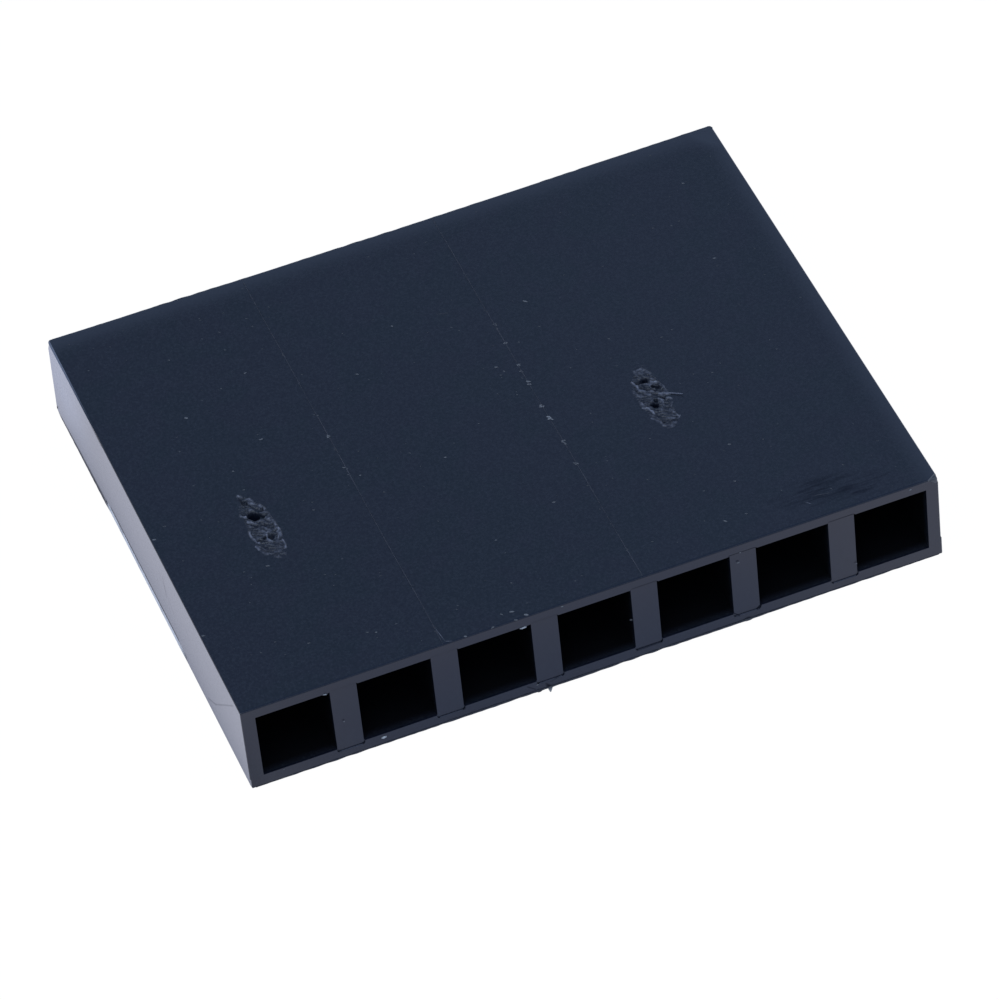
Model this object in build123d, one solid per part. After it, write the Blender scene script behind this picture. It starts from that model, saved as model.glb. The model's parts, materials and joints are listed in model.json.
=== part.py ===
"""Crimp connector housing: one row of terminal cavities, moulded in one piece.

Millimetres, +Z up. X runs along the row. The wire-entry end faces -Y and the mating end, where
the header pins go in, faces +Y. The latch side is the underside, on which the housing lies, and
the plain side with the two gate marks is on top. The origin is the middle of the underside.
"""

import os
from math import atan, degrees, radians, tan

from build123d import *

# Row and outer block
POSITIONS = 7
PITCH = 2.54
HOUSING_LENGTH = 14.0
HOUSING_HEIGHT = 2.58
TOP_EDGE_RADIUS = 0.04
BOTTOM_EDGE_RADIUS = 0.03
WIRE_END_CORNER_RADIUS = 0.03
MATING_END_CORNER_RADIUS = 0.12

# The corner of the top at +X and -Y is worn off: how far the wear reaches along each edge
WEAR_ALONG_ROW = 0.27
WEAR_ALONG_HOUSING = 0.17
WEAR_DOWN = 0.22

# Mould: the halves meet in a sloping plane and a little out of line, which leaves a step in
# both end walls
PARTING_HEIGHT_LEFT = 0.31
PARTING_HEIGHT_RIGHT = 0.52
MOULD_SHIFT = 0.01

# Terminal cavities, open at the wire-entry end
CAVITY_WIDTH = 1.87
TOP_WALL = 0.29
LATCH_WALL = 0.34
MATING_WALL = 1.00
CORE_DRAFT = 0.15

# Seats of the mould's core spacers, sunk into the wire-entry end of each divider
SEAT_DEPTH = 0.03
SEAT_OVERLAP = 0.02
SEAT_RISE = 0.05
SEAT_DROP = 0.11
SEAT_CORNER = 0.07

# How far a cut runs on into the cavity behind the wall that it opens
OVERRUN = 0.20

# Square pin holes through the mating wall, each with a funnel
PIN_HOLE = 0.90
FUNNEL_MOUTH = 1.50
FUNNEL_DEPTH = 0.35

# Latch tongues, each in a window through the latch wall
WINDOW_WIDTH = 1.50
WINDOW_LENGTH = 4.60
WINDOW_SETBACK = 3.30
WINDOW_CORNER = 0.15
TONGUE_WIDTH = 1.05
TONGUE_REACH = 3.10
TONGUE_TIP_GAP = 0.14
BARB_LENGTH = 1.70
BARB_RISE = 0.30

# Gate marks: pits torn in the top wall above two of the dividers, each with two deeper holes
GATED_DIVIDERS = (1, 5)
GATE_SETBACK = 8.35
GATE_LENGTH = 2.30
GATE_WIDTH = 0.66
GATE_DEPTH = 0.09
GATE_HOLE_OFFSETS = (-0.38, 0.45)
GATE_HOLE_LENGTH = 0.44
GATE_HOLE_WIDTH = 0.30
GATE_HOLE_DEPTH = 0.22

housing_width = POSITIONS * PITCH
wire_face_y = -HOUSING_LENGTH / 2
mating_face_y = HOUSING_LENGTH / 2
cavity_height = HOUSING_HEIGHT - TOP_WALL - LATCH_WALL
cavity_middle_z = LATCH_WALL + cavity_height / 2
cavity_depth = HOUSING_LENGTH - MATING_WALL
divider_width = PITCH - CAVITY_WIDTH

cavity_x = [(i - (POSITIONS - 1) / 2) * PITCH for i in range(POSITIONS)]
divider_x = [x + PITCH / 2 for x in cavity_x[:-1]]


def looking_in(x, y, z, towards):
    """A plane across the row at (x, y, z), for a hole that runs along Y: towards is 1 or -1."""
    return Plane(origin=(x, y, z), x_dir=(1, 0, 0), z_dir=(0, towards, 0))


def plan_outline():
    """The block seen from above, with rounder corners at the mating end than at the wire end."""
    outline = Rectangle(housing_width, HOUSING_LENGTH)
    outline = fillet(outline.vertices().group_by(Axis.Y)[-1], MATING_END_CORNER_RADIUS)
    return fillet(outline.vertices().group_by(Axis.Y)[0], WIRE_END_CORNER_RADIUS)


def parting_plane():
    """The plane in which the mould halves meet, which slopes from one end wall to the other."""
    rise = PARTING_HEIGHT_RIGHT - PARTING_HEIGHT_LEFT
    middle_z = (PARTING_HEIGHT_LEFT + PARTING_HEIGHT_RIGHT) / 2
    return Plane(origin=(0, 0, middle_z), x_dir=(housing_width, 0, rise), z_dir=(-rise, 0, housing_width))


def outer_block():
    """The upper and lower mould halves joined at the parting plane, with their rims rounded."""
    block = extrude(plan_outline(), amount=HOUSING_HEIGHT)
    block = fillet(block.faces().sort_by(Axis.Z)[-1].edges(), TOP_EDGE_RADIUS)
    block = fillet(block.faces().sort_by(Axis.Z)[0].edges(), BOTTOM_EDGE_RADIUS)
    upper = split(Pos(-MOULD_SHIFT, 0, 0) * block, bisect_by=parting_plane(), keep=Keep.TOP)
    lower = split(Pos(MOULD_SHIFT, 0, 0) * block, bisect_by=parting_plane(), keep=Keep.BOTTOM)
    return upper + lower


def worn_corner():
    """The three-sided crumb that is missing from one corner of the top."""
    corner = Vector(housing_width / 2 - MOULD_SHIFT, wire_face_y, HOUSING_HEIGHT)
    on_row = corner - Vector(WEAR_ALONG_ROW, 0, 0)
    on_side = corner + Vector(0, WEAR_ALONG_HOUSING, 0)
    below = corner - Vector(0, 0, WEAR_DOWN)
    outward = (below - on_row).cross(on_side - on_row)
    facet = Plane(origin=on_row, x_dir=on_side - on_row, z_dir=outward)
    reach = 2 * (WEAR_ALONG_ROW + WEAR_ALONG_HOUSING)
    return facet * Box(reach, reach, reach, align=(Align.CENTER, Align.CENTER, Align.MIN))


def terminal_cavity(x):
    """A core's space: square, drafted, and blind at the mating wall."""
    mouth = looking_in(x, wire_face_y, cavity_middle_z, 1) * Rectangle(CAVITY_WIDTH, cavity_height)
    return extrude(mouth, amount=cavity_depth, taper=CORE_DRAFT)


def spacer_seat(x):
    """The sunk seat that a core spacer leaves over a divider's end."""
    low_z = LATCH_WALL - SEAT_DROP
    high_z = LATCH_WALL + cavity_height + SEAT_RISE
    outline = RectangleRounded(divider_width + 2 * SEAT_OVERLAP, high_z - low_z, SEAT_CORNER)
    return extrude(looking_in(x, wire_face_y, (low_z + high_z) / 2, 1) * outline, amount=SEAT_DEPTH)


def pin_hole(x):
    """A square hole through the mating wall, with a funnel at the mating face."""
    face = looking_in(x, mating_face_y, cavity_middle_z, -1)
    slope = degrees(atan((FUNNEL_MOUTH - PIN_HOLE) / 2 / FUNNEL_DEPTH))
    funnel = extrude(face * Rectangle(FUNNEL_MOUTH, FUNNEL_MOUTH), amount=FUNNEL_DEPTH, taper=slope)
    hole = extrude(face * Rectangle(PIN_HOLE, PIN_HOLE), amount=MATING_WALL + OVERRUN)
    return funnel + hole


def latch_window(x):
    """The opening through the latch wall that the tongue sits in."""
    middle_y = mating_face_y - WINDOW_SETBACK - WINDOW_LENGTH / 2
    outline = Pos(x, middle_y) * RectangleRounded(WINDOW_WIDTH, WINDOW_LENGTH, WINDOW_CORNER)
    return extrude(outline, amount=LATCH_WALL + OVERRUN)


def latch_tongue(x):
    """A tongue that reaches from the window's wire side and ends in a barb inside the cavity."""
    root_y = mating_face_y - WINDOW_SETBACK - WINDOW_LENGTH
    tip_y = root_y + TONGUE_REACH
    inner_z = LATCH_WALL + (root_y - wire_face_y) * tan(radians(CORE_DRAFT))
    side = Polyline(
        (root_y - WINDOW_CORNER, 0),
        (root_y, 0),
        (tip_y, TONGUE_TIP_GAP),
        (tip_y, inner_z + BARB_RISE),
        (tip_y - BARB_LENGTH, inner_z),
        (root_y - WINDOW_CORNER, inner_z),
        close=True,
    )
    profile = Plane.YZ.offset(x) * make_face(side)
    return extrude(profile, amount=TONGUE_WIDTH / 2, both=True)


def gate_mark(x):
    """A shallow oval pit along the housing, with two deeper oval holes in it."""
    place = Pos(x, mating_face_y - GATE_SETBACK, HOUSING_HEIGHT)
    pit = extrude(place * Ellipse(GATE_WIDTH / 2, GATE_LENGTH / 2), amount=-GATE_DEPTH)
    for offset in GATE_HOLE_OFFSETS:
        hole = Pos(0, offset) * Ellipse(GATE_HOLE_WIDTH / 2, GATE_HOLE_LENGTH / 2)
        pit += extrude(place * hole, amount=-GATE_HOLE_DEPTH)
    return pit


def housing():
    """The whole moulding."""
    body = outer_block() - worn_corner()
    body -= [terminal_cavity(x) for x in cavity_x]
    body -= [pin_hole(x) for x in cavity_x]
    body -= [latch_window(x) for x in cavity_x]
    body += [latch_tongue(x) for x in cavity_x]
    body -= [spacer_seat(x) for x in divider_x]
    body -= [gate_mark(divider_x[i - 1]) for i in GATED_DIVIDERS]
    return body


os.makedirs("parts", exist_ok=True)
export_step(housing(), "parts/housing.step")
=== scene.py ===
"""Looks of a one-row crimp connector housing, moulded in near-black plastic.

Metres, in the frame of the solids: X along the row, -Y out of the wire-entry end, +Z up. The
housing's own solid keeps its shape. Thin skins are added where the moulding warped: the left end
wall that leans out, with the strip below it, and the bowed rim of the mating end. The other pieces
are the marks that moulding and handling left: two torn gate marks, two witness lines and a loose
thread, flash, burrs, a corner that wore away, scuffs, crumbs and dust. Some colours paint light
and shade: shade in the cavities, pits and notches, and sheen and highlights on edges and faces.
"""

import json
import math
import random

import bmesh
import bpy
from mathutils import Matrix, Vector, noise


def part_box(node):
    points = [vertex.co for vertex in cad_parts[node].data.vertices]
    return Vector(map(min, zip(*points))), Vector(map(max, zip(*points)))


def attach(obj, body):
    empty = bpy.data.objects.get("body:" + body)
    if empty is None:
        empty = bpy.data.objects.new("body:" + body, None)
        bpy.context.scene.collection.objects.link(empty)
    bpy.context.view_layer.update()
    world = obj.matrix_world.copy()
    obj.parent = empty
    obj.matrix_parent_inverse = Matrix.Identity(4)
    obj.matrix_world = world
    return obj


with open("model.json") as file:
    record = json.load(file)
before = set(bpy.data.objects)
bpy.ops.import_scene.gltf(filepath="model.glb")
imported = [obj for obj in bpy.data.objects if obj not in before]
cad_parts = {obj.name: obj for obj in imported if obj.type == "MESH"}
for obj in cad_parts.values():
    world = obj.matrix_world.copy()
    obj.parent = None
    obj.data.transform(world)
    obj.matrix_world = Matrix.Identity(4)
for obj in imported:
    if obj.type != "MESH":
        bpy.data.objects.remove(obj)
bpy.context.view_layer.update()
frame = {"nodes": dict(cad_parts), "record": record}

MM = 0.001
BODY = "root"

# The vector noise takes its offsets from the clock unless it has a seed
SEED = 11
noise.seed_set(SEED)

# The housing's faces, as the frame gives them
low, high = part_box("housing")
WIRE_FACE_Y = low.y
TOP_Z = high.z
LEFT_X = low.x
RIGHT_X = high.x

# The row of cavities, as its mount gives it, and the sizes of one cavity and one spacer seat
row = {mount["name"]: mount for mount in frame["record"]["mounts"]}["terminal_cavities"]
POSITIONS = row["dims"]["count"]
PITCH = row["dims"]["spacing_x_mm"] * MM
CAVITY_MIDDLE_Z = row["pos_m"][2]
CAVITY_WIDTH = 1.87 * MM
CAVITY_HEIGHT = 1.95 * MM
FUNNEL_DEPTH = 0.35 * MM
SEAT_WIDTH = 0.71 * MM
SEAT_LOW_Z = 0.23 * MM
SEAT_HIGH_Z = 2.34 * MM


# Finishes

PLASTIC_IOR = 1.45
TEAL_BLACK = (0.0036, 0.0064, 0.0105, 1)
PLUM_BLACK = (0.0050, 0.0060, 0.0115, 1)
WARM_BLACK = (0.0080, 0.0070, 0.0090, 1)
NAVY_BLACK = (0.0008, 0.0034, 0.0125, 1)
# The next colour mottles the grain, and also paints sheen on the top's back and right edges and towards
# the right end
GRAIN_AND_SHEEN_BLACK = (0.0280, 0.0320, 0.0420, 1)
# The next colour is a painted sheen on the back of the left end wall
WALL_SHEEN_PALE = (0.1500, 0.1560, 0.1850, 1)
# The next colour is painted light on the ledges under the spacer seats
LEDGE_PAINTED_LIGHT = (0.0600, 0.0650, 0.0850, 1)
# The next colour is painted shade inside the cavities
CAVITY_SHADE_BLACK = (0.0030, 0.0032, 0.0042, 1)
SHADOW_BLACK = (0.0030, 0.0042, 0.0085, 1)
# The next colour is whitened plastic, and a painted highlight on the witness lines
STRESSED_AND_HIGHLIGHT_PALE = (0.150, 0.158, 0.195, 1)
# The next colour is a painted reflection on the strip below the left end wall, a painted highlight on the
# corner's rim, and the pale spike
PALE_AND_HIGHLIGHT = (0.660, 0.645, 0.640, 1)
DUST_PALE = (0.480, 0.490, 0.510, 1)

PLASTIC_ROUGHNESS = 0.20
GRAIN_ROUGHNESS = 0.10
TORN_ROUGHNESS = 0.25
DUST_ROUGHNESS = 0.80
PLASTIC_RELIEF = 0.0016 * MM
DUST_RELIEF = 0.002 * MM

# How many lumps to the millimetre the noise in each finish has
GRAIN_SCALE = 15.0
FLOW_SCALE = 0.9
FRAY_SCALE = 30.0
DUST_SCALE = 12.0

# The brush strokes of the scuffed patch: how far they turn, and how they are drawn out
STROKE_TURN = 0.46
STROKE_STRETCH = (1.2, 9.0, 1.0)

# How close to a face the places on it lie, and how far behind its mouth the painted shade turns a cavity
# black
ON_FACE = 0.06 * MM
ON_END_WALL = 0.04 * MM
ON_CAVITY_WALL = 0.01 * MM
MOUTH_FADE = 0.30 * MM

# Painted shadow lines below the seats' upper ends: how far below, where they fade out and where they
# are darkest, and the stretch of the row over which they get stronger
EDGE_SHADOW_DROP = 0.045 * MM
EDGE_SHADOW_FADE = 0.020 * MM
EDGE_SHADOW_CORE = 0.006 * MM
EDGE_SHADOW_GAIN_X = (-4.0 * MM, 5.0 * MM)

# Ledges at the seats' lower ends, painted lighter against their shade: half their height, how far behind
# the face, and their corners
LEDGE_HALF = 0.004 * MM
LEDGE_BEHIND = 0.0005 * MM
LEDGE_CORNER = 0.06 * MM

# The scuffed patch on the top: the middle of its length and of its width, the directions of both,
# half of each, and which of its brush strokes show
PATCH_X = 6.4 * MM
PATCH_LONG_Y = -6.1 * MM
PATCH_SHORT_Y = -6.25 * MM
PATCH_LONG_WAY = (0.75, 0.35)
PATCH_SHORT_WAY = (0.10, 0.94)
PATCH_HALF_LENGTH = 1.25 * MM
PATCH_HALF_WIDTH = 0.58 * MM
PATCH_STROKES = (0.40, 0.72)

# Where the plastic changes: painted sheen by the top's back and right edges, warm near the floor,
# a painted cool reflection on the wire-entry end, and painted sheen at the mating end of the left
# end wall
BACK_SHEEN = 0.95 * MM
RIGHT_SHEEN = 0.80 * MM
WARM_Z = (0.50 * MM, 0.0)
COOL_REFLECTION_Z = (0.20 * MM, 2.20 * MM)
WALL_SHEEN_Y = (3.4 * MM, 6.4 * MM)
WALL_SHEEN_Z = (-0.6 * MM, 1.8 * MM)


class Value:
    """A socket in a finish. Python's operators on it add Math nodes."""

    def __init__(self, finish, socket):
        self.finish = finish
        self.socket = socket

    def math(self, operation, *values):
        return self.finish.node("ShaderNodeMath", {"operation": operation}, dict(enumerate(values)))

    def __add__(self, other):
        return self.math("ADD", self, other)

    def __radd__(self, other):
        return self.math("ADD", other, self)

    def __sub__(self, other):
        return self.math("SUBTRACT", self, other)

    def __rsub__(self, other):
        return self.math("SUBTRACT", other, self)

    def __mul__(self, other):
        return self.math("MULTIPLY", self, other)

    def __rmul__(self, other):
        return self.math("MULTIPLY", other, self)

    def __truediv__(self, other):
        return self.math("DIVIDE", self, other)

    def __lt__(self, other):
        return self.math("LESS_THAN", self, other)

    def __gt__(self, other):
        return self.math("GREATER_THAN", self, other)

    def __abs__(self):
        return self.math("ABSOLUTE", self)

    def root(self):
        return self.math("SQRT", self)

    def fraction(self):
        return self.math("FRACT", self)

    def highest(self, other):
        return self.math("MAXIMUM", self, other)


class Finish:
    """The node tree of a material or a world. Every node comes from node()."""

    def __init__(self, owner):
        owner.use_nodes = True
        self.owner = owner
        self.tree = owner.node_tree
        self.tree.nodes.clear()

    def node(self, kind, settings=None, sockets=None, output=0):
        """Adds a node, makes its settings, and then fills its sockets with values or links."""
        node = self.tree.nodes.new(kind)
        for name, value in (settings or {}).items():
            setattr(node, name, value)
        for name, value in (sockets or {}).items():
            if isinstance(value, Value):
                self.tree.links.new(value.socket, node.inputs[name])
            else:
                node.inputs[name].default_value = value
        return Value(self, node.outputs[output]) if node.outputs else None

    def place(self):
        """The place on the piece in metres, its X, Y and Z, and the same place in millimetres."""
        place = self.node("ShaderNodeTexCoord", output="Object")
        split = self.node("ShaderNodeSeparateXYZ", None, {0: place})
        axes = [Value(self, socket) for socket in split.socket.node.outputs]
        grained = self.node("ShaderNodeVectorMath", {"operation": "SCALE"}, {0: place, "Scale": 1 / MM})
        return axes, grained

    def cloud(self, place, scale, detail, roughness=0.5, seed=0.0):
        """Soft noise from 0 to 1, so many lumps to the millimetre."""
        sockets = {"Vector": place, "W": seed, "Scale": scale, "Detail": detail,
                   "Roughness": roughness}
        return self.node("ShaderNodeTexNoise", {"noise_dimensions": "4D"}, sockets)

    def ramp(self, value, start, end):
        """0 below start, 1 above end, and smooth between them."""
        sockets = {"Value": value, "From Min": start, "From Max": end}
        return self.node("ShaderNodeMapRange", {"interpolation_type": "SMOOTHSTEP"}, sockets)

    def blend(self, share, first, second):
        """A colour between two others."""
        settings = {"data_type": "RGBA", "clamp_factor": True}
        return self.node("ShaderNodeMix", settings, {0: share, 6: first, 7: second}, output=2)

    def bump(self, height, distance):
        """The normal of a surface that height raises by up to distance."""
        sockets = {"Height": height, "Distance": distance, "Strength": 1.0}
        return self.node("ShaderNodeBump", None, sockets)

    def line(self, along, across, start, end, width):
        """1 on a straight line from start to end, fading to 0 at half its width from it."""
        run = (end[0] - start[0], end[1] - start[1])
        length = math.hypot(*run)
        forward = ((along - start[0]) * run[0] + (across - start[1]) * run[1]) / length
        sideways = ((along - start[0]) * run[1] - (across - start[1]) * run[0]) / length
        beyond = abs(forward - length / 2).highest(length / 2) - length / 2
        distance = (beyond * beyond + sideways * sideways).root()
        return self.ramp(distance, width / 2, 0.0)

    def plastic(self, colour, roughness, normal, shadow=None):
        """Ends the tree in a plastic surface, which turns black where shadow is 1."""
        sockets = {"Base Color": colour, "Roughness": roughness, "IOR": PLASTIC_IOR, "Normal": normal}
        surface = self.node("ShaderNodeBsdfPrincipled", None, sockets)
        if shadow is not None:
            black = self.node("ShaderNodeBsdfDiffuse", None, {"Color": SHADOW_BLACK})
            surface = self.node("ShaderNodeMixShader", None, {0: shadow, 1: surface, 2: black})
        return self.done(surface)

    def done(self, surface):
        """Ends the tree in a surface, and gives the material back."""
        self.node("ShaderNodeOutputMaterial", None, {"Surface": surface})
        return self.owner


def shaded_cavities(finish, x, y, z):
    """1 on the walls of the cavities behind their mouths, where shade is painted, 0 on the outside and in
    the funnels.
    """
    across = ((x / PITCH + POSITIONS / 2).fraction() - 0.5) * PITCH
    between_dividers = abs(across) < CAVITY_WIDTH / 2 + ON_CAVITY_WALL
    between_walls = abs(z - CAVITY_MIDDLE_Z) < CAVITY_HEIGHT / 2 + ON_CAVITY_WALL
    behind_mouth = finish.ramp(y, WIRE_FACE_Y, WIRE_FACE_Y + MOUTH_FADE)
    return between_dividers * between_walls * behind_mouth * (y < high.y - FUNNEL_DEPTH)


def across_seat(x):
    """How far to the side of the nearest divider's middle a place is."""
    return abs((x / PITCH + (POSITIONS + 1) / 2).fraction() - 0.5) * PITCH


def seat_edge_shadows(finish, x, z, flow):
    """Painted shadow lines along the upper ends of the spacer seats, stronger towards the right."""
    on_seat = (across_seat(x) < SEAT_WIDTH / 2) * (abs(x) < (POSITIONS - 1) / 2 * PITCH)
    edge_shadow = finish.ramp(abs(z - SEAT_HIGH_Z + EDGE_SHADOW_DROP), EDGE_SHADOW_FADE, EDGE_SHADOW_CORE)
    return edge_shadow * on_seat * (0.15 + finish.ramp(x, *EDGE_SHADOW_GAIN_X) * 0.55) * (0.5 + flow)


def lit_seat_ledges(x, y, z):
    """1 on the narrow ledges at the lower ends of the spacer seats, painted lighter, 0 at their rounded
    corners.
    """
    on_ledge = (abs(z - SEAT_LOW_Z) < LEDGE_HALF) * (y > WIRE_FACE_Y + LEDGE_BEHIND)
    return on_ledge * (across_seat(x) < SEAT_WIDTH / 2 - LEDGE_CORNER)


def strokes(finish, along, across, marks):
    """How dark the straight marks in a list make a place."""
    shadow = 0.0
    for start, end, width, depth in marks:
        ends = [(point[0] * MM, point[1] * MM) for point in (start, end)]
        shadow = shadow + finish.line(along, across, *ends, width * MM) * depth
    return shadow


def scuffed_patch(finish, x, y, strokes_noise):
    """A brushed patch on the top, near the wire-entry end's right corner."""
    from_x = x - PATCH_X
    long_way = from_x * PATCH_LONG_WAY[0] + (y - PATCH_LONG_Y) * PATCH_LONG_WAY[1]
    short_way = (y - PATCH_SHORT_Y) * PATCH_SHORT_WAY[1] + from_x * PATCH_SHORT_WAY[0]
    aside, ahead = long_way / PATCH_HALF_LENGTH, short_way / PATCH_HALF_WIDTH
    near = finish.ramp(aside * aside + ahead * ahead, 1.0, 0.1)
    return near * finish.ramp(strokes_noise, *PATCH_STROKES)


# Dark marks: the start and end of each in millimetres, its width and how dark it is. Places on the
# left end wall are along and up, and on the wire-entry end across and up. The left end wall has
# scratches and a painted shadow; the wire-entry end has painted shade at the spacer seats.
END_WALL_SCRATCHES_AND_SHADOW = [
    ((-3.91, 0.22), (-4.73, 0.74), 0.080, 0.32),
    ((-4.73, 0.74), (-6.43, 2.32), 0.070, 0.24),
    ((-1.34, 1.94), (-1.40, 1.32), 0.080, 0.30),
    ((-1.02, 1.90), (-1.90, 1.10), 0.070, 0.16),
    # A painted shadow under the parting step, not a scratch
    ((-1.90, 0.335), (3.00, 0.335), 0.170, 0.55),
]
# Painted shade in the notches at the spacer seats' corners and along their lower edges
WIRE_FACE_SEAT_SHADOWS = [
    ((3.425, 0.393), (3.593, 0.224), 0.050, 0.75),
    ((4.071, 0.245), (4.156, 0.325), 0.090, 0.85),
    ((3.430, 2.290), (3.480, 2.335), 0.060, 0.55),
    ((-1.865, 0.267), (-1.682, 0.104), 0.060, 0.55),
    ((-1.283, 0.184), (-0.922, 0.283), 0.040, 0.45),
    ((-6.700, 0.330), (-6.600, 0.215), 0.045, 0.40),
    ((0.930, 0.225), (1.600, 0.235), 0.045, 0.50),
    ((-3.440, 0.340), (-3.470, 0.215), 0.040, 0.40),
]


def painted_edge_sheen(finish, x, y):
    """1 along the back and right edges of the top, where a sheen is painted, fading out within a
    millimetre.
    """
    to_edge = finish.ramp(y, high.y - BACK_SHEEN, high.y) + finish.ramp(x, RIGHT_X - RIGHT_SHEEN, RIGHT_X)
    return to_edge * to_edge * 0.8


def black_plastic(finish, x, z, grained):
    """The near-black colour, mottled by the melt's flow and painted lighter to the right, and its grain
    and flow.
    """
    grain = finish.cloud(grained, GRAIN_SCALE, 3.0, 0.65)
    flow = finish.cloud(grained, FLOW_SCALE, 3.0, 0.55, seed=2.0)
    colour = finish.blend(finish.ramp(flow, 0.40, 0.60), TEAL_BLACK, PLUM_BLACK)
    colour = finish.blend(finish.ramp(z, *WARM_Z), colour, WARM_BLACK)
    colour = finish.blend(finish.ramp(grain, 0.35, 0.75) * 0.42, colour, GRAIN_AND_SHEEN_BLACK)
    # Painted light: the plastic lightens towards the right end of the row
    return finish.blend(finish.ramp(x, LEFT_X, RIGHT_X) * 0.14, colour, GRAIN_AND_SHEEN_BLACK), grain, flow


def moulded_plastic():
    """Near-black plastic off a fine spark-eroded mould, with painted shade and painted sheen in places."""
    finish = Finish(bpy.data.materials.new("moulded_plastic"))
    (x, y, z), grained = finish.place()
    colour, grain, flow = black_plastic(finish, x, z, grained)
    turned = finish.node("ShaderNodeMapping", None, {
        "Vector": grained, "Rotation": (0, 0, STROKE_TURN), "Scale": STROKE_STRETCH})
    strokes_noise = finish.cloud(turned, 1.0, 2.0, 0.6, seed=4.0)
    on_top = z > TOP_Z - ON_FACE
    on_wire_face = y < WIRE_FACE_Y + ON_FACE
    on_end_wall = x < LEFT_X + ON_END_WALL
    # A painted cool reflection: the wire-entry end turns bluer towards its top
    cool = on_wire_face * (0.40 + finish.ramp(z, *COOL_REFLECTION_Z) * 0.40)
    colour = finish.blend(cool, colour, NAVY_BLACK)
    # Painted light: the ledges under the seats are lightened against their shade
    colour = finish.blend(lit_seat_ledges(x, y, z), colour, LEDGE_PAINTED_LIGHT)
    # Painted sheen: the top is lighter along its back and right edges
    colour = finish.blend(painted_edge_sheen(finish, x, y) * on_top, colour, GRAIN_AND_SHEEN_BLACK)
    # Painted sheen: the left end wall turns paler towards its back and top, where it mirrors lit floor
    wall_sheen = finish.ramp(y, *WALL_SHEEN_Y) * finish.ramp(z, *WALL_SHEEN_Z) * on_end_wall
    colour = finish.blend(wall_sheen, colour, WALL_SHEEN_PALE)
    # Painted shade: the cavities turn black behind their mouths
    colour = finish.blend(shaded_cavities(finish, x, y, z), colour, CAVITY_SHADE_BLACK)
    roughness = PLASTIC_ROUGHNESS + grain * GRAIN_ROUGHNESS
    relief = finish.bump(grain * 0.9 + flow * 2.0, PLASTIC_RELIEF)
    # Painted shade at the seats of the wire-entry end, scratches and a painted shadow on the left end
    # wall, and a brushed patch on the top
    shadow = seat_edge_shadows(finish, x, z, flow) + strokes(finish, x, z, WIRE_FACE_SEAT_SHADOWS)
    shadow = shadow * on_wire_face + strokes(finish, y, z, END_WALL_SCRATCHES_AND_SHADOW) * on_end_wall
    shadow = shadow + scuffed_patch(finish, x, y, strokes_noise) * on_top * 0.55
    return finish.plastic(colour, roughness, relief, shadow)


def broken_plastic(name, pale):
    """The same plastic where it was torn or scuffed: pale at tone 1, and black at tone -1, where shade is
    painted.
    """
    finish = Finish(bpy.data.materials.new(name))
    (x, _, z), grained = finish.place()
    colour, grain, flow = black_plastic(finish, x, z, grained)
    tone = finish.node("ShaderNodeAttribute", {"attribute_name": "tone"}, output="Fac")
    fray = finish.cloud(grained, FRAY_SCALE, 3.0, 0.6)
    torn = finish.ramp(abs(tone), 0.0, 0.1)
    colour = finish.blend(torn * 0.7, colour, NAVY_BLACK)
    colour = finish.blend(tone * (0.45 + fray * 1.1), colour, pale)
    roughness = PLASTIC_ROUGHNESS + grain * GRAIN_ROUGHNESS + torn * TORN_ROUGHNESS
    relief = finish.bump(grain * 0.9 + flow * 2.0 + fray * torn * 1.6, PLASTIC_RELIEF)
    # Low tone turns the plastic black: painted shade in pits, chips and at the foot of the left end wall
    return finish.plastic(colour, roughness, relief, finish.ramp(tone, -0.05, -0.90))


def dust():
    """Dust and crumbs, paler the higher their tone."""
    finish = Finish(bpy.data.materials.new("dust"))
    _, grained = finish.place()
    tone = finish.node("ShaderNodeAttribute", {"attribute_name": "tone"}, output="Fac")
    shade = finish.cloud(grained, DUST_SCALE, 1.0)
    colour = finish.blend(tone * (0.6 + shade * 0.8), TEAL_BLACK, DUST_PALE)
    return finish.plastic(colour, DUST_ROUGHNESS, finish.bump(shade, DUST_RELIEF))


# Making pieces


def piece(name, bm, material):
    """Turns a mesh in metres into a piece that belongs to the housing's body."""
    mesh = bpy.data.meshes.new(name)
    bm.to_mesh(mesh)
    bm.free()
    mesh.materials.append(material)
    for polygon in mesh.polygons:
        polygon.use_smooth = True
    thing = bpy.data.objects.new(name, mesh)
    bpy.context.scene.collection.objects.link(thing)
    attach(thing, BODY)
    return thing


def toned_mesh():
    """An empty mesh, and the layer that gives each of its vertices a tone."""
    bm = bmesh.new()
    return bm, bm.verts.layers.float.new("tone")


def smooth_step(value, start, end):
    """0 below start, 1 above end, and smooth between them."""
    share = min(max((value - start) / (end - start), 0.0), 1.0)
    return share * share * (3 - 2 * share)


def round_drop(radius, into):
    """How far a rounded edge has dropped, that far into its radius."""
    return radius - math.sqrt(radius ** 2 - into ** 2)


def distance_to_path(point, path):
    """How far a flat point is from a path of straight runs, or from a single point."""
    if len(path) == 1:
        return (point - path[0]).length
    nearest = math.inf
    for start, end in zip(path, path[1:]):
        run = end - start
        share = min(max((point - start).dot(run) / run.length_squared, 0.0), 1.0)
        nearest = min(nearest, (point - start - run * share).length)
    return nearest


# Gate marks: where the runners were broken off, the top wall is torn. The sizes are in millimetres.
# MARK_PIT is half the width and length of the pit in the solid, and MARK_FLOOR is how deep the torn
# surface lies in it.

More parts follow.
